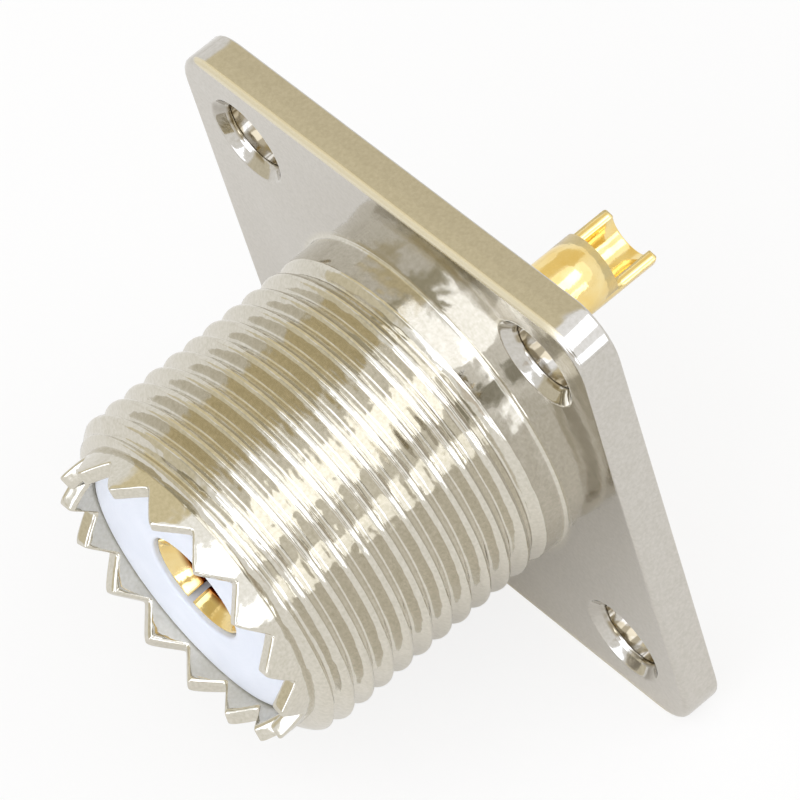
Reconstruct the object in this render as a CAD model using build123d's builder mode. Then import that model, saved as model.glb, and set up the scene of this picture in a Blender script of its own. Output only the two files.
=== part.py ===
"""Chassis socket for a coaxial connector: flanged shell, insulator and centre contact.

The mating axis runs along -Y, +Z points up along a flange edge and +X to the right.
The origin lies on the axis, in the flange's rear face, which rests on the panel.
Depths below are measured from that face towards the mating end.
"""
import os
from math import radians, tan

from build123d import *

# Flange
flange_side = 25.4
flange_thickness = 1.8
flange_corner_radius = 2.2
flange_front_round = 0.25
flange_rear_round = 0.15
screw_spacing = 18.26
screw_hole_diameter = 3.2
countersink_diameter = 4.2
countersink_angle = 90.0
hole_deburr = 0.2

# Barrel and nose
thread_diameter = 15.875
nose_round = 1.0
nose_depth = 14.75

# Toothed rim
tooth_count = 16
tooth_tip_depth = 16.3
tooth_height = 1.1
tooth_root_round = 0.15
groove_angle = 96.0

# Bore of the shell
bore_diameter = 12.4
seat_diameter = 13.2
seat_front = 2.6
lip_diameter = 11.2
lip_thickness = 0.6

# Insulator
insulator_clearance = 0.05
insulator_front = 15.0
insulator_edge = 0.15
neck_rear = -1.2
neck_edge = 0.3

# Contact socket
socket_diameter = 5.0
socket_bore_diameter = 4.0
socket_recess = 0.25
socket_bore_length = 9.0
socket_edge = 0.05
socket_lead_in = 0.4
socket_lead_in_length = 0.75
socket_seat = 4.0
socket_clearance = 0.05
slot_width = 0.3
slot_length = 7.5
slot_count = 4
slot_turn = 58.0
drill_point_angle = 118.0

# Contact stem and solder cup
stem_diameter = 3.2
stem_clearance = 0.05
barb_diameter = 3.7
barb_front = 2.4
barb_length = 0.8
cup_end = -9.15
cup_bore_diameter = 2.2
cup_bore_length = 4.55
cup_opening_length = 2.2
cup_opening_turn = 75.0
cup_edge = 0.1

# Radii and depths that follow from the sizes above
screw_hole_radius = screw_hole_diameter / 2
countersink_radius = countersink_diameter / 2
thread_radius = thread_diameter / 2
nose_radius = thread_radius - nose_round
bore_radius = bore_diameter / 2
seat_radius = seat_diameter / 2
lip_radius = lip_diameter / 2
tooth_root_depth = tooth_tip_depth - tooth_height
neck_radius = lip_radius - insulator_clearance
collar_radius = seat_radius - insulator_clearance
body_radius = bore_radius - insulator_clearance
socket_front = insulator_front - socket_recess
socket_radius = socket_diameter / 2
socket_bore_radius = socket_bore_diameter / 2
socket_bottom = socket_front - socket_bore_length
stem_radius = stem_diameter / 2
barb_radius = barb_diameter / 2
barb_rear = barb_front - barb_length
stem_bore_radius = stem_radius + stem_clearance
chamber_radius = socket_radius + socket_clearance
cup_bore_radius = cup_bore_diameter / 2
cup_bottom = cup_end + cup_bore_length
drill_slope = tan(radians(drill_point_angle / 2))

# Length by which a cut runs past the solid, and the band in which an edge counts as at a depth
overshoot = 1.0
fit_test = 0.001

# In the section plane local x is the radius and local y the depth
section = Plane(origin=(0, 0, 0), x_dir=(1, 0, 0), z_dir=(0, 0, -1))


def across(depth):
    """Plane across the axis at a depth, local x to the right and local y up."""
    return Plane.XZ.offset(depth)


# Groove of the toothed rim: a V that runs straight across the axis, its root at the origin
groove_rise = tooth_height + overshoot
groove_half_width = groove_rise * tan(radians(groove_angle / 2))
with BuildPart() as groove:
    with BuildSketch(Plane.YZ) as groove_shape:
        with BuildLine():
            Polyline((0, 0), (groove_half_width, groove_rise), (-groove_half_width, groove_rise), close=True)
        make_face()
        fillet(groove_shape.vertices().sort_by(Axis.Y)[0], tooth_root_round)
    extrude(amount=nose_radius + overshoot, both=True)

with BuildPart() as shell:
    # Flange with its front and rear edges rounded
    with BuildSketch(across(0)):
        RectangleRounded(flange_side, flange_side, flange_corner_radius)
    extrude(amount=flange_thickness)
    fillet(shell.edges().group_by(Axis.Y)[0], flange_front_round)
    fillet(shell.edges().group_by(Axis.Y)[-1], flange_rear_round)
    # Barrel, rounded nose and the plain ring that the teeth are cut from
    with BuildSketch(section):
        with BuildLine():
            Polyline((thread_radius, nose_depth - nose_round), (thread_radius, 0), (0, 0))
            Polyline((0, 0), (0, tooth_tip_depth), (nose_radius, tooth_tip_depth), (nose_radius, nose_depth))
            RadiusArc((nose_radius, nose_depth), (thread_radius, nose_depth - nose_round), nose_round)
        make_face()
    revolve(axis=Axis.Y)
    # Stepped bore: rear lip, seat of the insulator's collar and front bore
    with BuildSketch(section):
        with BuildLine():
            Polyline(
                (0, 0),
                (lip_radius, 0),
                (lip_radius, lip_thickness),
                (seat_radius, lip_thickness),
                (seat_radius, seat_front),
                (bore_radius, seat_front),
                (bore_radius, tooth_tip_depth),
                (0, tooth_tip_depth),
                close=True,
            )
        make_face()
    revolve(axis=Axis.Y, mode=Mode.SUBTRACT)
    # Each groove makes two opposite gaps, the first pair on the level line through the axis
    with Locations(across(tooth_root_depth)):
        with PolarLocations(0, tooth_count // 2, 0, 180):
            add(groove.part, mode=Mode.SUBTRACT)
    # Countersunk screw holes in the corners, deburred at the rear
    with Locations(across(flange_thickness)):
        with GridLocations(screw_spacing, screw_spacing, 2, 2):
            CounterSinkHole(screw_hole_radius, countersink_radius, counter_sink_angle=countersink_angle)
    rear_circles = shell.edges().filter_by(GeomType.CIRCLE).filter_by_position(Axis.Y, -fit_test, fit_test)
    chamfer(rear_circles.group_by(SortBy.RADIUS)[0], hole_deburr)
shell.part.label = "shell"

with BuildPart() as insulator:
    # Rear neck, collar in the shell's seat, front body with the chamber of the contact
    with BuildSketch(section):
        with BuildLine():
            Polyline(
                (stem_bore_radius, neck_rear),
                (neck_radius - neck_edge, neck_rear),
                (neck_radius, neck_rear + neck_edge),
                (neck_radius, lip_thickness),
                (collar_radius, lip_thickness),
                (collar_radius, seat_front),
                (body_radius, seat_front),
                (body_radius, insulator_front - insulator_edge),
                (body_radius - insulator_edge, insulator_front),
                (chamber_radius, insulator_front),
                (chamber_radius, socket_seat),
                (stem_bore_radius, socket_seat),
                (stem_bore_radius, barb_front),
                (barb_radius, barb_front),
                (stem_bore_radius, barb_rear),
                close=True,
            )
        make_face()
    revolve(axis=Axis.Y)
insulator.part.label = "insulator"

with BuildPart() as contact:
    # Socket, stem with its barb and solder cup, turned from one bar and drilled from both ends
    with BuildSketch(section):
        with BuildLine():
            Polyline(
                (0, socket_bottom - socket_bore_radius / drill_slope),
                (socket_bore_radius, socket_bottom),
                (socket_bore_radius, socket_front - socket_lead_in_length),
                (socket_bore_radius + socket_lead_in, socket_front),
                (socket_radius - socket_edge, socket_front),
                (socket_radius, socket_front - socket_edge),
                (socket_radius, socket_seat),
                (stem_radius, socket_seat),
                (stem_radius, barb_front),
                (barb_radius, barb_front),
                (stem_radius, barb_rear),
                (stem_radius, cup_end + cup_edge),
                (stem_radius - cup_edge, cup_end),
                (cup_bore_radius, cup_end),
                (cup_bore_radius, cup_bottom),
                (0, cup_bottom + cup_bore_radius / drill_slope),
                close=True,
            )
        make_face()
    revolve(axis=Axis.Y)
    # Slots that make the socket springy, each cut straight across the axis
    with Locations(across(socket_front)):
        with PolarLocations(0, slot_count // 2, slot_turn, 180):
            Box(2 * (socket_radius + overshoot), slot_width, 2 * slot_length, mode=Mode.SUBTRACT)
    # Half of the solder cup's wall is cut away, from the axis outwards
    with Locations(across(cup_end)):
        with PolarLocations(0, 1, cup_opening_turn):
            Box(
                stem_radius + overshoot,
                2 * (stem_radius + overshoot),
                2 * cup_opening_length,
                align=(Align.MIN, Align.CENTER, Align.CENTER),
                mode=Mode.SUBTRACT,
            )
contact.part.label = "contact"

os.makedirs("parts", exist_ok=True)
export_step(shell.part, "parts/shell.step")
export_step(insulator.part, "parts/insulator.step")
export_step(contact.part, "parts/contact.step")
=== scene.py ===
"""UHF chassis socket: nickel-plated shell, PTFE insulator and gold-plated contact.

Sizes are millimetres until a mesh is written in metres. A point of a turned piece has a radius,
an angle from +X towards +Z and a depth from the flange's rear face towards the mating end, -Y.
"""

from math import cos, radians, sin, tan

import bmesh
import bpy
import numpy as np
from mathutils import Matrix, Vector
from mathutils.geometry import delaunay_2d_cdt


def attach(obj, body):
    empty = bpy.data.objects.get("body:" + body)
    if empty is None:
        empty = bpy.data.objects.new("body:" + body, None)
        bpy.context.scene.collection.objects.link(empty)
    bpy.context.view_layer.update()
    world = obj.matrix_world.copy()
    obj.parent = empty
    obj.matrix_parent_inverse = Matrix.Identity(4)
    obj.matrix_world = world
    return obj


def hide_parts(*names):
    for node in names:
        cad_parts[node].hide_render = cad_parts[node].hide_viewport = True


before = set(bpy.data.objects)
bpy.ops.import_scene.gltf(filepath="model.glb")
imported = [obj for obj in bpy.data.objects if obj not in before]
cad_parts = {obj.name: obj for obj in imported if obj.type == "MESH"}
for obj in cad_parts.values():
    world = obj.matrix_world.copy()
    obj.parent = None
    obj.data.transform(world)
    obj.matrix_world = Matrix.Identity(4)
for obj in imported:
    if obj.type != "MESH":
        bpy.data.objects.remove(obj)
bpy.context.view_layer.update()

MM = 0.001

# Flange
flange_half = 12.7
flange_thickness = 1.8
flange_corner = 2.2
front_round = 0.25
rear_round = 0.15
screw_offset = 9.13
screw_hole_radius = 1.6
countersink_radius = 2.1
hole_deburr = 0.2

# Barrel with its 5/8 inch thread of 24 turns per inch
thread_radius = 7.9375
thread_pitch = 25.4 / 24
thread_start = 2.586
thread_start_angle = radians(-100)
thread_fade_angle = radians(60)
thread_depth = 0.62
thread_crest_half = 0.11
thread_crest_round = 0.1
thread_root_round = 0.16
thread_grown = (3.0, 6.0)
root_fillet = 0.15
nose_depth = 14.75
nose_round = 1.0
nose_radius = thread_radius - nose_round

# Toothed rim
tooth_count = 16
tooth_root = 15.2
tooth_height = 1.1
tooth_slope = tan(radians(90 - 96 / 2))
tooth_root_bend = 0.069
tooth_tip_round = 0.16
tooth_tip_lift = 0.03
outer_edge = 0.12
inner_edge = 0.2

# Bore of the shell: front bore, seat of the insulator's collar, rear lip
bore_radius = 6.2
seat_radius = 6.6
seat_front = 2.6
lip_radius = 5.6
lip_thickness = 0.6
lip_round = 0.15

# Insulator
insulator_front = 15.0
body_radius = 6.15
collar_radius = 6.55
neck_radius = 5.55
neck_rear = -1.2
chamber_radius = 2.55
chamber_floor = 4.0
stem_bore = 1.65

# Contact
socket_front = 14.75
socket_radius = 2.5
socket_bore = 2.0
socket_drill_tip = 4.55
slot_count = 4
slot_half = 0.15
slot_length = 7.5
slot_turn = 58.0
stem_radius = 1.6
barb_radius = 1.85
barb_front = 2.4
barb_rear = 1.6
cup_bore = 1.1
cup_drill_tip = -3.94
cup_end = -9.15
cup_step = -6.95
cup_turn = 75.0


# Shared maths and mesh helpers

def soft_min(a, b, width):
    """The smaller of two numbers, with the corner where they cross rounded over a width: half of their
    sum, less half the root of the squared difference plus the squared width."""
    return 0.5 * (a + b - np.sqrt((a - b) ** 2 + width ** 2))


def soft_max(a, b, width):
    """The larger of two numbers, with the same rounded corner."""
    return -soft_min(-a, -b, width)


def turned(radius, angle, depth):
    """Points at a radius, an angle and a depth: x is radius times cosine, z radius times sine."""
    radius, angle, depth = np.broadcast_arrays(radius, angle, depth)
    return np.stack([radius * np.cos(angle), -depth, radius * np.sin(angle)], axis=-1)


class Skin:
    """The vertices and faces of one piece, gathered grid by grid."""

    def __init__(self):
        self.points = np.zeros((0, 3))
        self.faces = []
        self.rings = []

    def add_points(self, points):
        """Adds a grid of points and returns the grid of their numbers."""
        shape = points.shape[:-1]
        start = len(self.points)
        self.points = np.vstack([self.points, points.reshape(-1, 3)])
        return np.arange(start, len(self.points)).reshape(shape)

    def add_quads(self, grid, closed=True, keep=None):
        """Joins neighbouring rows and columns of a grid of numbers, and the last column to the first if
        closed."""
        right = np.roll(grid, -1, axis=1)
        quads = np.stack([grid[:-1], grid[1:], right[1:], right[:-1]], axis=-1)
        if not closed:
            quads = quads[:, :-1]
        if keep is not None:
            quads = quads[keep]
        self.faces += quads.reshape(-1, 4).tolist()

    def add_fan(self, ring, tip):
        """Closes a ring of numbers with triangles that meet in one tip."""
        tips = np.full(len(ring), tip)
        self.faces += np.stack([ring, np.roll(ring, -1), tips], axis=1).tolist()

    def add_flat(self, outline, holes):
        """Fills the flat area between an outline and its round holes, all at one depth, with triangles.
        A triangle with its three corners on one hole lies inside that hole and is left out."""
        loops = [outline, *holes]
        numbers = np.concatenate(loops)
        flat = [Vector((p[0], p[2])) for p in self.points[numbers].tolist()]
        edges = []
        start = 0
        for loop in loops:
            run = np.arange(start, start + len(loop))
            edges += np.stack([run, np.roll(run, -1)], axis=1).tolist()
            start += len(loop)
        _, _, triangles, origins, _, _ = delaunay_2d_cdt(flat, edges, [], 1, 1e-6)
        picked = np.array([given[0] for given in origins])[np.array(triangles)]
        owner = np.repeat(np.arange(len(loops)), [len(loop) for loop in loops])[picked]
        inside = (owner == owner[:, :1]).all(axis=1) & (owner[:, 0] > 0)
        self.faces += numbers[picked[~inside]].tolist()

    def add_ring(self, numbers):
        """Makes the edges of a ring creases, which smooth shading stops at."""
        self.rings.append(numbers)

    def finish(self, name, node, material):
        """Writes the mesh in metres, turns its faces outwards and lets it stand for a CAD node. An edge is
        a crease where both its ends carry the same ring's mark."""
        mesh = bpy.data.meshes.new(name)
        mesh.from_pydata((self.points * MM).tolist(), [], self.faces)
        shaped = bmesh.new()
        shaped.from_mesh(mesh)
        bmesh.ops.recalc_face_normals(shaped, faces=shaped.faces)
        shaped.to_mesh(mesh)
        shaped.free()
        mesh.shade_smooth()
        if self.rings:
            mark = np.zeros(len(self.points), int)
            for number, ring in enumerate(self.rings):
                mark[ring] = number + 1
            ends = np.zeros(len(mesh.edges) * 2, int)
            mesh.edges.foreach_get("vertices", ends)
            ends = mark[ends.reshape(-1, 2)]
            crease = (ends[:, 0] == ends[:, 1]) & (ends[:, 0] > 0)
            mesh.attributes.new("sharp_edge", "BOOLEAN", "EDGE").data.foreach_set("value", crease)
        mesh.materials.append(material)
        piece = bpy.data.objects.new(name, mesh)
        bpy.context.scene.collection.objects.link(piece)
        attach(piece, "root")
        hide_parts(node)


# Shell: thread, nose and toothed rim on one grid of angle and depth, then the flange round it

def rim_columns():
    """Angles of the shell's columns: the same set in each tooth, closest at the gap's root and at the
    tip. A tooth and its gap span 0 to 2, with the roots at both ends and the tip at 1."""
    half = np.array([0, 0.035, 0.075, 0.13, 0.21, 0.33, 0.47, 0.61, 0.74, 0.84, 0.91, 0.965])
    tooth = np.concatenate([half, 2 - np.append(half[1:], 1.0)[::-1]])
    starts = np.arange(tooth_count)[:, None] * 2
    return np.radians((starts + tooth[None, :]).ravel() * 180 / tooth_count)


def gap_angle(angle):
    """Angle from the middle of the nearest gap of the rim."""
    step = 2 * np.pi / tooth_count
    return (angle + step / 2) % step - step / 2


def rim_top(radius, angle):
    """Depth of the rim's edge. The grooves are straight and V-shaped, so the height is the slope times
    the distance from the groove's middle line, rounded at the root and limited to the teeth's height."""
    across = radius * np.sin(gap_angle(angle))
    rise = tooth_slope * np.sqrt(across ** 2 + tooth_root_bend ** 2)
    return tooth_root + soft_min(rise, tooth_height + tooth_tip_lift, tooth_tip_round)


def thread_surface(angle, depth):
    """Radius of the barrel: a right-hand helix whose profile is a flat crest, flanks and a rounded root.
    The depth less the share of a turn gives the distance from the nearest crest, and the flank's slope
    times that distance is the drop. The thread starts at one crest line beside a plain collar and fades
    in over a sixth of a turn on the underside. The flanks lie at 45 degrees to the axis in the first
    groove and rise to 60 degrees as the thread grows."""
    past_start = (angle - thread_start_angle) % (2 * np.pi)
    turn = (depth - thread_start) / thread_pitch - past_start / (2 * np.pi)
    off_crest = np.abs(turn - np.round(turn)) * thread_pitch
    grown = np.clip((depth - thread_grown[0]) / (thread_grown[1] - thread_grown[0]), 0, 1)
    slope = 1.0 + (1 / tan(radians(30)) - 1.0) * grown ** 2 * (3 - 2 * grown)
    drop = soft_max((off_crest - thread_crest_half) * slope, 0.0, thread_crest_round)
    drop = drop - soft_max(-thread_crest_half * slope, 0.0, thread_crest_round)
    drop = soft_min(drop, thread_depth, thread_root_round)
    cut = np.clip((np.floor(turn) * 2 * np.pi + past_start) / thread_fade_angle, 0, 1)
    return thread_radius - drop * cut


def shell_profile(angle):
    """Radii and depths of the shell's rows, from the flange's front round the rim and back through the
    bore, and which rows are creases. A rounded edge is a quarter circle, by the cosine and the sine of
    its bend."""
    column = np.ones_like(angle)
    radii = []
    depths = []
    creases = []

    def row(radius, depth, crease=False):
        radii.append(radius * column)
        depths.append(depth * column)
        creases.append(crease)

    for bend in np.radians(np.linspace(90, 0, 6)):
        row(thread_radius + root_fillet * (1 - cos(bend)), flange_thickness + root_fillet * (1 - sin(bend)))
    for depth in (2.0, 2.3):
        row(thread_radius, depth)
    nose_start = nose_depth - nose_round
    for depth in np.linspace(2.6, nose_start, 185):
        row(thread_surface(angle, depth), depth)
    for bend in np.radians(np.linspace(0, 90, 15))[1:-1]:
        depth = nose_start + nose_round * sin(bend)
        row(soft_min(thread_surface(angle, depth), nose_radius + nose_round * cos(bend), 0.03), depth)
    row(nose_radius, nose_depth, crease=True)
    outer = rim_top(nose_radius - outer_edge, angle) - outer_edge
    for part in (0.1, 0.3, 0.5, 0.7, 0.88, 1.0):
        row(nose_radius, nose_depth + part * (outer - nose_depth))
    for bend in np.radians((22.5, 45, 67.5, 90)):
        radius = nose_radius - outer_edge * (1 - cos(bend))
        row(radius, rim_top(radius, angle) - outer_edge * (1 - sin(bend)))
    for part in (0.2, 0.5, 0.8):
        radius = nose_radius - outer_edge - part * (nose_radius - bore_radius - outer_edge - inner_edge)
        row(radius, rim_top(radius, angle))
    for bend in np.radians((90, 75, 60, 45, 30, 15)):
        radius = bore_radius + inner_edge * (1 - cos(bend))
        row(radius, rim_top(radius, angle) - inner_edge * (1 - sin(bend)))
    inner = rim_top(bore_radius + inner_edge, angle) - inner_edge
    for part in (0.0, 0.3, 0.6, 0.85, 1.0):
        row(bore_radius, inner + part * (insulator_front - 0.05 - inner))
    row(bore_radius, insulator_front - 1.0)
    row(bore_radius, seat_front, crease=True)
    row(seat_radius, seat_front, crease=True)
    row(seat_radius, lip_thickness, crease=True)
    row(lip_radius, lip_thickness, crease=True)
    for bend in np.radians((0, 30, 60, 90)):
        row(lip_radius + lip_round * (1 - cos(bend)), lip_round * (1 - sin(bend)))
    row(lip_radius + lip_round + 0.05, 0.0)
    return np.array(radii), np.array(depths), np.array(creases)


def square_loop(half, corner, bends=9):
    """A square with rounded corners, as points right and up: four quarter circles joined by straight
    sides."""
    turn = np.radians(np.linspace(0, 90, bends))
    quarter = np.stack([np.cos(turn), np.sin(turn)], axis=1) * corner + (half - corner)
    x, z = quarter[:, 0], quarter[:, 1]
    return np.concatenate([quarter, np.stack([-z, x], axis=1), -quarter, np.stack([z, -x], axis=1)])


def flange_rim():
    """Rows of the flange's edge, front to rear: a flat border, the front round, the side, the rear round
    and a flat border. Each is a rounded square, drawn in by its inset."""
    steps = [(front_round + 0.06, flange_thickness)]
    for bend in np.radians(np.linspace(90, 0, 7)):
        steps.append((front_round * (1 - cos(bend)), flange_thickness - front_round * (1 - sin(bend))))
    for bend in np.radians(np.linspace(0, 90, 5)):
        steps.append((rear_round * (1 - cos(bend)), rear_round * (1 - sin(bend))))
    steps.append((rear_round + 0.06, 0.0))
    rows = []
    for inset, depth in steps:
        loop = square_loop(flange_half - inset, flange_corner - inset)
        rows.append(np.stack([loop[:, 0], np.full(len(loop), -depth), loop[:, 1]], axis=1))
    return np.array(rows)


def screw_hole(right, up):
    """Rows of one screw hole, front to rear: a flat border, a rubbed-down edge, the countersink, the wall and
    the deburred edge. Each radius is carried once round the hole's middle line."""
    edge = countersink_radius
    cone = flange_thickness - (countersink_radius - screw_hole_radius)
    profile = np.array([
        (edge + 0.10, flange_thickness),
        (edge + 0.04, flange_thickness),
        (edge + 0.015, flange_thickness - 0.008),
        (edge - 0.02, flange_thickness - 0.035),
        (edge - 0.06, flange_thickness - 0.075),
        (screw_hole_radius + 0.05, cone + 0.05),
        (screw_hole_radius + 0.02, cone + 0.01),
        (screw_hole_radius, cone - 0.05),
        (screw_hole_radius, cone - 0.12),
        (screw_hole_radius, hole_deburr + 0.05),
        (screw_hole_radius, hole_deburr),
        (screw_hole_radius + hole_deburr, 0.0),
        (screw_hole_radius + hole_deburr + 0.05, 0.0),
    ])
    turn = np.linspace(0, 2 * np.pi, 56, endpoint=False)
    rows = turned(profile[:, :1], turn[None, :], profile[:, 1:])
    return rows + np.array([right, 0.0, up])


def make_shell(material):
    """One closed skin: barrel and rim, flange edge, screw holes, and the two flat faces between them."""
    skin = Skin()
    angle = rim_columns()
    radii, depths, creases = shell_profile(angle)
    barrel = skin.add_points(turned(radii, angle[None, :], depths))
    skin.add_quads(barrel)
    for ring in barrel[creases]:
        skin.add_ring(ring)
    border = skin.add_points(flange_rim())
    skin.add_quads(border)
    holes = []
    for right in (-screw_offset, screw_offset):
        for up in (-screw_offset, screw_offset):
            hole = skin.add_points(screw_hole(right, up))
            skin.add_quads(hole)
            skin.add_ring(hole[-3])
            skin.add_ring(hole[-2])
            holes.append(hole)
    skin.add_flat(border[0], [barrel[0], *(hole[0] for hole in holes)])
    skin.add_flat(border[-1], [barrel[-1], *(hole[-1] for hole in holes)])
    skin.finish("shell_plated", "shell", material)


# Insulator disc

def make_insulator(material):
    """A turned disc: its section, as radius and depth, is carried once round the axis."""
    front = insulator_front
    neck = [
        (stem_bore, neck_rear), (stem_bore + 0.1, neck_rear), (5.2, neck_rear), (5.3, -1.185),
        (5.47, -1.02), (5.535, -0.9), (neck_radius, -0.8), (neck_radius, lip_thickness - 0.05),
        (neck_radius, lip_thickness), (lip_radius, lip_thickness),
    ]
    collar = [
        (collar_radius - 0.05, lip_thickness), (collar_radius, lip_thickness),
        (collar_radius, lip_thickness + 0.05), (collar_radius, seat_front - 0.05),
        (collar_radius, seat_front), (collar_radius - 0.05, seat_front), (bore_radius, seat_front),
    ]
    body = [
        (body_radius, seat_front), (body_radius, seat_front + 0.05), (body_radius, 14.7),
        (body_radius, 14.83), (6.14, 14.89), (6.11, 14.95), (6.05, 14.985), (5.97, front),
    ]
    face = [(5.8, front), (4.5, front), (2.8, front), (2.68, front), (2.62, 14.985), (2.57, 14.94)]
    chamber = [
        (chamber_radius, 14.88), (chamber_radius, 14.8), (chamber_radius, chamber_floor + 0.05),
        (chamber_radius, chamber_floor), (chamber_radius - 0.05, chamber_floor),
        (stem_bore + 0.05, chamber_floor), (stem_bore, chamber_floor),
    ]
    stem_hole = [
        (stem_bore, chamber_floor - 0.1), (stem_bore, barb_front + 0.05), (stem_bore, barb_front),
        (barb_radius, barb_front), (stem_bore, barb_rear), (stem_bore, barb_rear - 0.1),
        (stem_bore, neck_rear + 0.1),
    ]
    section = np.array(neck + collar + body + face + chamber + stem_hole)
    angle = np.linspace(0, 2 * np.pi, 160, endpoint=False)
    skin = Skin()
    grid = skin.add_points(turned(section[:, :1], angle[None, :], section[:, 1:]))
    skin.add_quads(np.vstack([grid, grid[:1]]))
    skin.finish("insulator_disc", "insulator", material)


# Contact with its spring socket and solder cup

def contact_section():
    """Radii and depths round the contact, from the tip of the front drilling to the tip of the rear one,
    and the rows that each named run of them takes."""
    tine = np.linspace(socket_front - slot_length, socket_front - 0.82, 9)
    cup = np.linspace(cup_step, cup_end + 0.15, 6)
    front_bore = [(0.5, 4.85), (1.2, 5.27), (1.9, 5.69), (1.98, 5.75), (socket_bore, 5.85)]
    inner_tine = [(socket_bore, depth) for depth in tine]
    mouth = [
        (2.01, 13.98), (2.04, 14.05), (2.2, 14.36), (2.36, 14.67), (2.38, 14.71), (2.4, 14.74),
        (2.43, socket_front), (2.46, 14.745), (2.49, 14.72), (socket_radius, 14.68), (socket_radius, 14.4),
    ]
    outer_tine = [(socket_radius, depth) for depth in tine[::-1]]
    shoulder = [
        (socket_radius, chamber_floor + 0.2), (socket_radius, chamber_floor + 0.08), (2.42, chamber_floor),
        (1.7, chamber_floor), (stem_radius, chamber_floor), (stem_radius, barb_front),
        (barb_radius, barb_front), (stem_radius, barb_rear),
    ]
    stem = [(stem_radius, depth) for depth in (0.0, -2.0, -4.0, -5.5)]
    outer_cup = [(stem_radius, depth) for depth in cup]
    lip = [
        (1.59, -9.05), (1.57, -9.10), (1.53, -9.14), (1.48, cup_end), (1.15, cup_end), (1.11, -9.13),
        (cup_bore, -9.09),
    ]
    inner_cup = [(cup_bore, depth) for depth in cup[::-1]]
    rear_bore = [(cup_bore, -5.5), (cup_bore, -4.7), (1.08, -4.6), (0.6, -4.30), (0.3, -4.12)]
    runs = {
        "front_bore": front_bore, "inner_tine": inner_tine, "mouth": mouth, "outer_tine": outer_tine,
        "shoulder": shoulder, "stem": stem, "outer_cup": outer_cup, "lip": lip, "inner_cup": inner_cup,
        "rear_bore": rear_bore,
    }
    points = []
    rows = {}
    for name, run in runs.items():
        rows[name] = slice(len(points), len(points) + len(run))
        points += run
    return np.array(points), rows


def make_contact(material):
    """The section is carried round the axis. In the socket the columns run from slot to slot, and a
    slot's edge lies at the angle whose sine is half its width over the radius. The cells inside the
    slots and inside the cup's opening are left out, and flat walls close the cuts between the outer
    and the inner skin."""
    section, rows = contact_section()
    radius = section[:, :1]
    tine_columns = 24
    count = slot_count * tine_columns
    share = np.linspace(0, 1, tine_columns)
    half_slot = np.arcsin(np.minimum(slot_half / np.maximum(radius, 0.4), 0.5))[:, :, None]
    pitch = 2 * np.pi / slot_count
    start = np.radians(slot_turn) + np.arange(slot_count)[:, None] * pitch
    socket_angle = start[None] + half_slot + share[None, None, :] * (pitch - 2 * half_slot)
    socket_angle = socket_angle.reshape(len(section), -1)
    stem_angle = np.radians(cup_turn + 90) + np.linspace(0, 2 * np.pi, count, endpoint=False)[None, :]
    in_front = np.arange(len(section)) < rows["shoulder"].start + 3
    angle = np.where(in_front[:, None], socket_angle, stem_angle + 0 * radius)
    skin = Skin()
    grid = skin.add_points(turned(radius, angle, section[:, 1:]))
    keep = np.ones((len(section) - 1, count), bool)
    slots = np.arange(tine_columns - 1, count, tine_columns)
    keep[rows["inner_tine"].start:rows["outer_tine"].stop - 1, slots] = False
    keep[rows["outer_cup"].start:rows["inner_cup"].stop - 1, count // 2:] = False
    skin.add_quads(grid, keep=keep)
    skin.add_fan(grid[0], skin.add_points(np.array([0.0, -socket_drill_tip, 0.0])))
    skin.add_fan(grid[-1], skin.add_points(np.array([0.0, -cup_drill_tip, 0.0])))
    # Walls and floor of the slots
    inner = grid[rows["inner_tine"]]
    outer = grid[rows["outer_tine"]][::-1]
    mouth = grid[rows["mouth"].start - 1:rows["mouth"].stop + 1]
    for slot in slots:
        for edge in (slot, (slot + 1) % count):
            skin.add_quads(np.stack([inner[:, edge], outer[:, edge]], axis=1), closed=False)
            skin.faces.append(mouth[:, edge].tolist())
        ends = [slot, (slot + 1) % count]
        skin.add_quads(np.stack([inner[0, ends], outer[0, ends]]), closed=False)
    # Cut faces of the cup's opening and the step where it starts
    outer = grid[rows["outer_cup"]]
    inner = grid[rows["inner_cup"]][::-1]
    lip = grid[rows["lip"].start - 1:rows["lip"].stop + 1]
    for edge in (0, count // 2):
        skin.add_quads(np.stack([inner[:, edge], outer[:, edge]], axis=1), closed=False)
        skin.faces.append(lip[:, edge].tolist())
    opened = np.append(np.arange(count // 2, count), 0)
    skin.add_quads(np.stack([inner[0, opened], outer[0, opened]]), closed=False)
    skin.finish("contact_plated", "contact", material)


# Materials

# Sockets of the node that mixes two colours: both colours and the result
MIX_A = 6
MIX_B = 7
MIX_RESULT = 2


def colour(code):
    """An sRGB hex colour as linear red, green, blue and alpha."""
    parts = [int(code[i:i + 2], 16) / 255 for i in (1, 3, 5)]
    return (*(part / 12.92 if part <= 0.04045 else ((part + 0.055) / 1.055) ** 2.4 for part in parts), 1.0)


def add(tree, kind, inputs=None, **settings):
    """Adds a node with its settings; each input is a value or another node's output."""
    made = tree.nodes.new(kind)
    for name, value in settings.items():
        setattr(made, name, value)
    for name, value in (inputs or {}).items():
        if isinstance(value, bpy.types.NodeSocket):
            tree.links.new(value, made.inputs[name])
        else:
            made.inputs[name].default_value = value
    return made


def new_material(name):
    """A material with an empty node tree and its output node."""
    material = bpy.data.materials.new(name)
    material.use_nodes = True
    material.node_tree.nodes.clear()
    return material, material.node_tree, add(material.node_tree, "ShaderNodeOutputMaterial")


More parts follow.
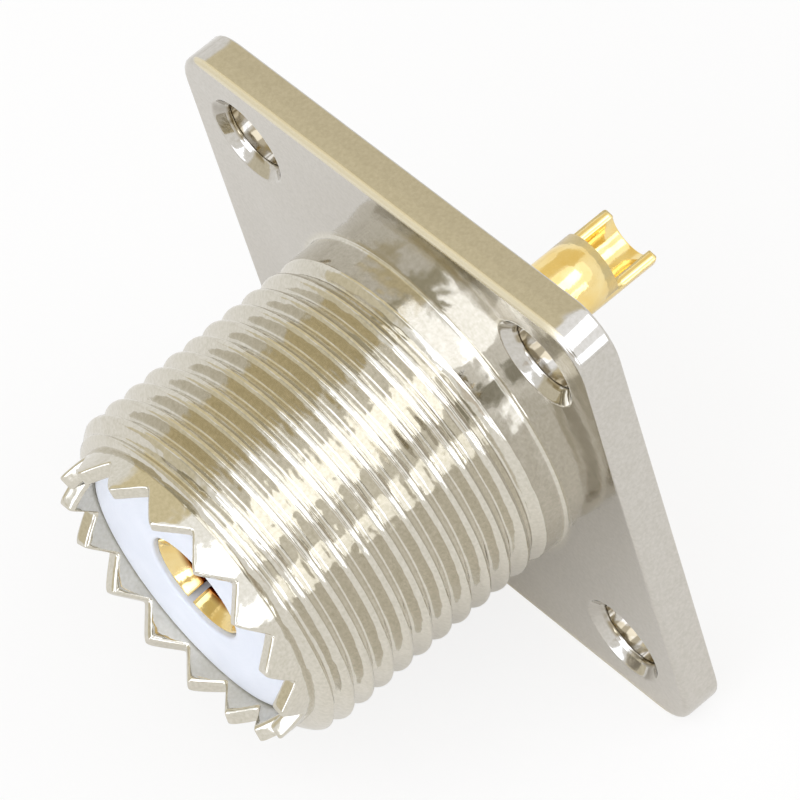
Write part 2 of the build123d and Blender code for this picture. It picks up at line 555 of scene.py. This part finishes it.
def nickel_plate():
    """Bright nickel on turned brass: a slightly warm grey that mirrors the room, a shade duller on the
    rolled flange than on the turned barrel. A fine mottle of 0.15 mm is the grain of the plating, and
    clouds of 4 mm make it more or less bright. Dents of 0.8 mm on the cut thread and on the punched
    walls of the screw holes break up what they mirror, and brown patches painted on those walls are a
    painted reflection of the brown surroundings. A painted highlight, pale and rougher, lies on the
    flange's front edges, top and bottom."""
    material, tree, output = new_material("bright_nickel_plate")
    place = add(tree, "ShaderNodeTexCoord").outputs["Object"]
    parts = add(tree, "ShaderNodeSeparateXYZ", {0: place})
    level = add(tree, "ShaderNodeCombineXYZ", {"X": parts.outputs["X"], "Z": parts.outputs["Z"]})
    radius = add(tree, "ShaderNodeVectorMath", {0: level.outputs[0]}, operation="LENGTH").outputs["Value"]
    # Rolled metal is what lies outside the barrel or behind the flange's front face
    beside = add(tree, "ShaderNodeMapRange", {
        "Value": radius, "From Min": 8.0 * MM, "From Max": 8.3 * MM,
    }).outputs["Result"]
    behind = add(tree, "ShaderNodeMapRange", {
        "Value": parts.outputs["Y"], "From Min": -1.75 * MM, "From Max": -1.6 * MM,
    }).outputs["Result"]
    rolled = add(tree, "ShaderNodeMath", {0: beside, 1: behind}, operation="MAXIMUM").outputs[0]
    barrel = add(tree, "ShaderNodeMapRange", {
        "Value": rolled, "To Min": 1.0, "To Max": 0.1,
    }).outputs["Result"]
    # The walls of the screw holes, by the distance from the nearest hole's middle line
    corner = add(tree, "ShaderNodeVectorMath", {0: level.outputs[0]}, operation="ABSOLUTE").outputs["Vector"]
    hole = add(tree, "ShaderNodeVectorMath", {
        0: corner, 1: (screw_offset * MM, 0.0, screw_offset * MM),
    }, operation="DISTANCE").outputs["Value"]
    punched = add(tree, "ShaderNodeMapRange", {
        "Value": hole, "From Min": 1.75 * MM, "From Max": 1.65 * MM,
    }).outputs["Result"]
    worked = add(tree, "ShaderNodeMath", {0: barrel, 1: punched}, operation="MAXIMUM").outputs[0]
    # Dents, grain and clouds, and the colours they sort
    dents = add(tree, "ShaderNodeTexNoise", {"Vector": place, "Scale": 1200.0, "Detail": 1.0}).outputs["Fac"]
    mottle = add(tree, "ShaderNodeTexNoise", {"Vector": place, "Scale": 6500.0, "Detail": 3.0}).outputs["Fac"]
    cloud = add(tree, "ShaderNodeTexNoise", {"Vector": place, "Scale": 260.0, "Detail": 3.0}).outputs["Fac"]
    depth = add(tree, "ShaderNodeMath", {0: dents, 1: worked}, operation="MULTIPLY").outputs[0]
    tint = add(tree, "ShaderNodeMapRange", {"Value": mottle, "From Min": 0.3, "From Max": 0.7})
    turned_metal = add(tree, "ShaderNodeMix", {
        "Factor": tint.outputs["Result"], MIX_A: colour("#CAC5B6"), MIX_B: colour("#D8D3C7"),
    }, data_type="RGBA").outputs[MIX_RESULT]
    rolled_metal = add(tree, "ShaderNodeMix", {
        "Factor": tint.outputs["Result"], MIX_A: colour("#C3BFB6"), MIX_B: colour("#CECAC3"),
    }, data_type="RGBA").outputs[MIX_RESULT]
    plated = add(tree, "ShaderNodeMix", {
        "Factor": rolled, MIX_A: turned_metal, MIX_B: rolled_metal,
    }, data_type="RGBA").outputs[MIX_RESULT]
    # Painted reflection: brown patches on the walls of the screw holes stand in for the brown surroundings
    # they mirror
    streaks = add(tree, "ShaderNodeMapRange", {"Value": dents, "From Min": 0.47, "From Max": 0.56})
    painted_reflection_patches = add(tree, "ShaderNodeMath", {
        0: streaks.outputs["Result"], 1: punched,
    }, operation="MULTIPLY", use_clamp=True).outputs[0]
    plated_with_painted_reflection = add(tree, "ShaderNodeMix", {
        "Factor": painted_reflection_patches, MIX_A: plated, MIX_B: colour("#A0957E"),
    }, data_type="RGBA").outputs[MIX_RESULT]
    bright = add(tree, "ShaderNodeMapRange", {
        "Value": cloud, "From Min": 0.3, "From Max": 0.7, "To Min": 0.06, "To Max": 0.11,
    }).outputs["Result"]
    # A painted highlight, a pale and rougher band, lies near the flange's top and bottom and near its front
    # face
    sides = add(tree, "ShaderNodeSeparateXYZ", {0: corner})
    border = add(tree, "ShaderNodeMapRange", {
        "Value": sides.outputs["Z"], "From Min": 12.35 * MM, "From Max": 12.46 * MM,
    }).outputs["Result"]
    highlight_depth = add(tree, "ShaderNodeMapRange", {
        "Value": parts.outputs["Y"], "From Min": -1.50 * MM, "From Max": -1.58 * MM,
    }).outputs["Result"]
    edge = add(tree, "ShaderNodeMath", {0: border, 1: highlight_depth}, operation="MULTIPLY").outputs[0]
    # Painted highlight: the pale colour is mixed in on the flange's top and bottom front edges
    metal = add(tree, "ShaderNodeMix", {
        "Factor": edge, MIX_A: plated_with_painted_reflection, MIX_B: colour("#E3DBC4"),
    }, data_type="RGBA").outputs[MIX_RESULT]
    rough = add(tree, "ShaderNodeMapRange", {
        "Value": edge, "To Min": bright, "To Max": 0.45,
    }).outputs["Result"]
    wavy = add(tree, "ShaderNodeBump", {"Height": depth, "Strength": 1.0, "Distance": 0.04 * MM})
    grainy = add(tree, "ShaderNodeBump", {
        "Height": mottle, "Strength": 0.5, "Distance": 0.002 * MM, "Normal": wavy.outputs["Normal"],
    })
    shader = add(tree, "ShaderNodeBsdfPrincipled", {
        "Base Color": metal, "Metallic": 1.0, "Roughness": rough, "Normal": grainy.outputs["Normal"],
    })
    tree.links.new(shader.outputs["BSDF"], output.inputs["Surface"])
    return material


def gold_plate():
    """Bright gold on turned bronze: a pale yellow that deepens where the plating mirrors itself. Turning
    lines 0.15 mm apart run round it, and the tint drifts as the plating's thickness does. Inside the
    socket, past its mouth, the bore is painted brown as painted shade of the deep hole."""
    material, tree, output = new_material("bright_gold_plate")
    place = add(tree, "ShaderNodeTexCoord").outputs["Object"]
    cloud = add(tree, "ShaderNodeTexNoise", {"Vector": place, "Scale": 1100.0, "Detail": 3.0}).outputs["Fac"]
    lines = add(tree, "ShaderNodeTexWave", {
        "Vector": place, "Scale": 2100.0, "Distortion": 1.5, "Detail": 2.0,
    }, bands_direction="Y").outputs["Fac"]
    tint = add(tree, "ShaderNodeMapRange", {"Value": cloud, "From Min": 0.3, "From Max": 0.7})
    thick = add(tree, "ShaderNodeMix", {
        "Factor": tint.outputs["Result"], MIX_A: colour("#F2D488"), MIX_B: colour("#F7E2A6"),
    }, data_type="RGBA").outputs[MIX_RESULT]
    parts = add(tree, "ShaderNodeSeparateXYZ", {0: place})
    level = add(tree, "ShaderNodeCombineXYZ", {"X": parts.outputs["X"], "Z": parts.outputs["Z"]})
    radius = add(tree, "ShaderNodeVectorMath", {0: level.outputs[0]}, operation="LENGTH").outputs["Value"]
    # Painted shade: inside the socket, past its mouth, the bore is coloured brown where shade falls in the
    # deep hole
    bored = add(tree, "ShaderNodeMapRange", {
        "Value": radius, "From Min": 2.44 * MM, "From Max": 2.38 * MM,
    }).outputs["Result"]
    front = add(tree, "ShaderNodeMapRange", {
        "Value": parts.outputs["Y"], "From Min": -14.25 * MM, "From Max": -13.95 * MM, "To Min": 0.12,
    }, interpolation_type="SMOOTHSTEP").outputs["Result"]
    ahead = add(tree, "ShaderNodeMath", {
        0: parts.outputs["Y"], 1: -5.0 * MM,
    }, operation="LESS_THAN").outputs[0]
    inside = add(tree, "ShaderNodeMath", {0: front, 1: ahead}, operation="MULTIPLY").outputs[0]
    painted_bore_shade = add(tree, "ShaderNodeMath", {0: bored, 1: inside}, operation="MULTIPLY").outputs[0]
    metal = add(tree, "ShaderNodeMix", {
        "Factor": painted_bore_shade, MIX_A: thick, MIX_B: colour("#925A26"),
    }, data_type="RGBA").outputs[MIX_RESULT]
    rough = add(tree, "ShaderNodeMapRange", {
        "Value": cloud, "From Min": 0.3, "From Max": 0.7, "To Min": 0.08, "To Max": 0.15,
    }).outputs["Result"]
    wavy = add(tree, "ShaderNodeBump", {"Height": cloud, "Strength": 1.0, "Distance": 0.03 * MM})
    turned_skin = add(tree, "ShaderNodeBump", {
        "Height": lines, "Strength": 0.5, "Distance": 0.001 * MM, "Normal": wavy.outputs["Normal"],
    })
    shader = add(tree, "ShaderNodeBsdfPrincipled", {
        "Base Color": metal, "Metallic": 1.0, "Roughness": rough, "Normal": turned_skin.outputs["Normal"],
    })
    tree.links.new(shader.outputs["BSDF"], output.inputs["Surface"])
    return material


def ptfe():
    """Turned PTFE: a waxy, slightly cool white that light sinks into, with faint rings 0.25 mm apart
    from the turning tool and a tint that drifts over 2.5 mm."""
    material, tree, output = new_material("turned_ptfe")
    place = add(tree, "ShaderNodeTexCoord").outputs["Object"]
    cloud = add(tree, "ShaderNodeTexNoise", {"Vector": place, "Scale": 400.0, "Detail": 3.0}).outputs["Fac"]
    rings = add(tree, "ShaderNodeTexWave", {
        "Vector": place, "Scale": 1250.0, "Distortion": 0.6, "Detail": 2.0,
    }, wave_type="RINGS", rings_direction="Y").outputs["Fac"]
    tint = add(tree, "ShaderNodeMapRange", {"Value": cloud, "From Min": 0.3, "From Max": 0.7})
    white = add(tree, "ShaderNodeMix", {
        "Factor": tint.outputs["Result"], MIX_A: colour("#DEE2E9"), MIX_B: colour("#E7EAF0"),
    }, data_type="RGBA").outputs[MIX_RESULT]
    rough = add(tree, "ShaderNodeMapRange", {
        "Value": rings, "To Min": 0.38, "To Max": 0.46,
    }).outputs["Result"]
    ridged = add(tree, "ShaderNodeBump", {"Height": rings, "Strength": 0.6, "Distance": 0.003 * MM})
    shader = add(tree, "ShaderNodeBsdfPrincipled", {
        "Base Color": white, "Roughness": rough, "Normal": ridged.outputs["Normal"],
        "Subsurface Weight": 0.2, "Subsurface Radius": (1.0, 1.0, 1.0), "Subsurface Scale": 0.8 * MM,
    })
    tree.links.new(shader.outputs["BSDF"], output.inputs["Surface"])
    return material


# Studio

world_light = 0.6
floor_white = 0.8


def make_floor():
    """A plain white floor. The camera, gloss and glass see part of it as even white, which keeps its shadow
    faint. Gloss sees less of that white close to the object, so the plating mirrors the shadow under it."""
    material, tree, output = new_material("studio_floor_paper")
    place = add(tree, "ShaderNodeTexCoord").outputs["Object"]
    reach = add(tree, "ShaderNodeVectorMath", {
        0: place, 1: (-9 * MM, 0.0, 0.0),
    }, operation="DISTANCE").outputs["Value"]
    open_floor = add(tree, "ShaderNodeMapRange", {
        "Value": reach, "From Min": 12 * MM, "From Max": 42 * MM, "To Min": 0.12, "To Max": 0.85,
    }, interpolation_type="SMOOTHSTEP").outputs["Result"]
    path = add(tree, "ShaderNodeLightPath")
    mirrored = add(tree, "ShaderNodeMath", {
        0: path.outputs["Is Glossy Ray"], 1: path.outputs["Is Transmission Ray"],
    }, operation="MAXIMUM").outputs[0]
    mirrored = add(tree, "ShaderNodeMath", {0: mirrored, 1: open_floor}, operation="MULTIPLY").outputs[0]
    seen = add(tree, "ShaderNodeMath", {0: path.outputs["Is Camera Ray"], 1: mirrored}, operation="MAXIMUM")
    share = add(tree, "ShaderNodeMath", {0: seen.outputs[0], 1: floor_white}, operation="MULTIPLY")
    paper = add(tree, "ShaderNodeBsdfDiffuse", {"Color": colour("#F3EEE4")})
    white = add(tree, "ShaderNodeEmission", {"Color": colour("#FFFFFF"), "Strength": 1.0})
    both = add(tree, "ShaderNodeMixShader", {0: share.outputs[0], 1: paper.outputs[0], 2: white.outputs[0]})
    tree.links.new(both.outputs[0], output.inputs["Surface"])
    mesh = bpy.data.meshes.new("studio_floor")
    half = 1.5
    corners = [(-half, -half, 0), (half, -half, 0), (half, half, 0), (-half, half, 0)]
    mesh.from_pydata(corners, [], [(0, 1, 2, 3)])
    mesh.materials.append(material)
    floor = bpy.data.objects.new("studio_floor", mesh)
    floor.location = (0.0, 0.0, -flange_half * MM)
    bpy.context.scene.collection.objects.link(floor)


def make_world():
    """White for the camera and for reflections, a softer white as light."""
    world = bpy.data.worlds.new("studio_white")
    world.use_nodes = True
    tree = world.node_tree
    tree.nodes.clear()
    output = add(tree, "ShaderNodeOutputWorld")
    path = add(tree, "ShaderNodeLightPath")
    seen = path.outputs["Is Camera Ray"]
    for kind in ("Is Glossy Ray", "Is Transmission Ray"):
        seen = add(tree, "ShaderNodeMath", {0: seen, 1: path.outputs[kind]}, operation="MAXIMUM").outputs[0]
    strength = add(tree, "ShaderNodeMapRange", {"Value": seen, "To Min": world_light, "To Max": 1.0})
    back = add(tree, "ShaderNodeBackground", {
        "Color": colour("#FFFFFF"), "Strength": strength.outputs["Result"],
    })
    tree.links.new(back.outputs[0], output.inputs["Surface"])
    bpy.context.scene.world = world


def towards(azimuth, elevation):
    """Unit vector to a place seen from the object: azimuth 0 is -Y and 90 is +X."""
    a, e = radians(azimuth), radians(elevation)
    return Vector((sin(a) * cos(e), -cos(a) * cos(e), sin(e)))


def make_lamp(name, azimuth, elevation, distance, width, height, power):
    """A soft rectangular lamp that looks at the object."""
    lamp = bpy.data.lights.new(name, "AREA")
    lamp.shape = "RECTANGLE"
    lamp.size = width
    lamp.size_y = height
    lamp.energy = power
    lamp.color = colour("#E4ECFF")[:3]
    holder = bpy.data.objects.new(name, lamp)
    direction = towards(azimuth, elevation)
    holder.location = direction * distance
    holder.rotation_euler = direction.to_track_quat("Z", "Y").to_euler()
    bpy.context.scene.collection.objects.link(holder)


def make_card(name, azimuth, elevation, distance, width, height, code):
    """A card of coloured paper beside the object, soft at its edge, that only the plated metal mirrors."""
    material, tree, output = new_material(name + "_paper")
    place = add(tree, "ShaderNodeTexCoord").outputs["Object"]
    parts = add(tree, "ShaderNodeSeparateXYZ", {0: place})
    fades = []
    for axis, half in (("X", width / 2), ("Y", height / 2)):
        reach = add(tree, "ShaderNodeMath", {0: parts.outputs[axis]}, operation="ABSOLUTE")
        fades.append(add(tree, "ShaderNodeMapRange", {
            "Value": reach.outputs[0], "From Min": half * 0.75, "From Max": half,
            "To Min": 1.0, "To Max": 0.0,
        }, interpolation_type="SMOOTHSTEP").outputs["Result"])
    cover = add(tree, "ShaderNodeMath", {0: fades[0], 1: fades[1]}, operation="MULTIPLY")
    paper = add(tree, "ShaderNodeEmission", {"Color": colour(code), "Strength": 1.0})
    clear = add(tree, "ShaderNodeBsdfTransparent")
    both = add(tree, "ShaderNodeMixShader", {0: cover.outputs[0], 1: clear.outputs[0], 2: paper.outputs[0]})
    tree.links.new(both.outputs[0], output.inputs["Surface"])
    mesh = bpy.data.meshes.new(name)
    x, y = width / 2, height / 2
    mesh.from_pydata([(-x, -y, 0), (x, -y, 0), (x, y, 0), (-x, y, 0)], [], [(0, 1, 2, 3)])
    mesh.materials.append(material)
    card = bpy.data.objects.new(name, mesh)
    direction = towards(azimuth, elevation)
    card.location = direction * distance
    card.rotation_euler = direction.to_track_quat("Z", "Y").to_euler()
    card.visible_camera = False
    card.visible_diffuse = False
    card.visible_shadow = False
    bpy.context.scene.collection.objects.link(card)


def make_camera():
    """The photograph's camera: a long lens from the mating side, above and to the right, turned about
    its own axis."""
    azimuth, elevation, roll = 64.07, 48.99, 18.92
    distance = 279.58 * MM
    aim = Vector((-1.068, -2.922, -0.276)) * MM
    lens = bpy.data.cameras.new("camera")
    lens.sensor_width = 36.0
    lens.lens = 306.1
    lens.clip_start = 0.01
    lens.clip_end = 10.0
    camera = bpy.data.objects.new("camera", lens)
    direction = towards(azimuth, elevation)
    place = Matrix.Translation(aim + direction * distance)
    turn = direction.to_track_quat("Z", "Y").to_matrix().to_4x4()
    camera.matrix_world = place @ turn @ Matrix.Rotation(radians(-roll), 4, "Z")
    bpy.context.scene.collection.objects.link(camera)
    bpy.context.scene.camera = camera


make_camera()
make_world()
make_floor()

# Lamps: azimuth, elevation, distance, width and height in metres, power in watts. Cards end in a colour.
make_lamp("wide_lamp", 85, 58, 0.7, 3.0, 1.2, 3.6)
make_lamp("key_lamp", 110, 53, 0.6, 0.53, 0.28, 0.80)
make_lamp("side_lamp", 100, 14, 0.6, 0.49, 0.17, 0.38)
make_lamp("top_lamp", 14, 64, 0.6, 0.60, 0.34, 0.88)
make_lamp("right_lamp", 26, 35, 0.6, 0.41, 0.21, 0.60)
make_lamp("low_lamp", 48, 9, 0.6, 0.25, 0.14, 0.42)
make_lamp("front_lamp", -1, 7, 0.6, 0.21, 0.29, 0.40)
make_card("upper_card", -95, 58, 0.60, 0.44, 0.70, "#F0E5C4")
make_card("back_card", -142, 40, 0.59, 0.60, 0.64, "#EBE0C0")
make_card("left_card", -41, 20, 0.58, 0.54, 0.52, "#E4DDC8")
make_card("lid_card", -25, 55, 0.57, 0.30, 0.31, "#D0CCBB")
make_card("front_card", 34, 16, 0.56, 0.33, 0.17, "#E2DBD2")
make_card("lens_card", 72, 31, 0.50, 0.19, 0.14, "#B9B7AE")

make_shell(nickel_plate())
make_insulator(ptfe())
make_contact(gold_plate())

bpy.context.scene.view_settings.view_transform = "Standard"
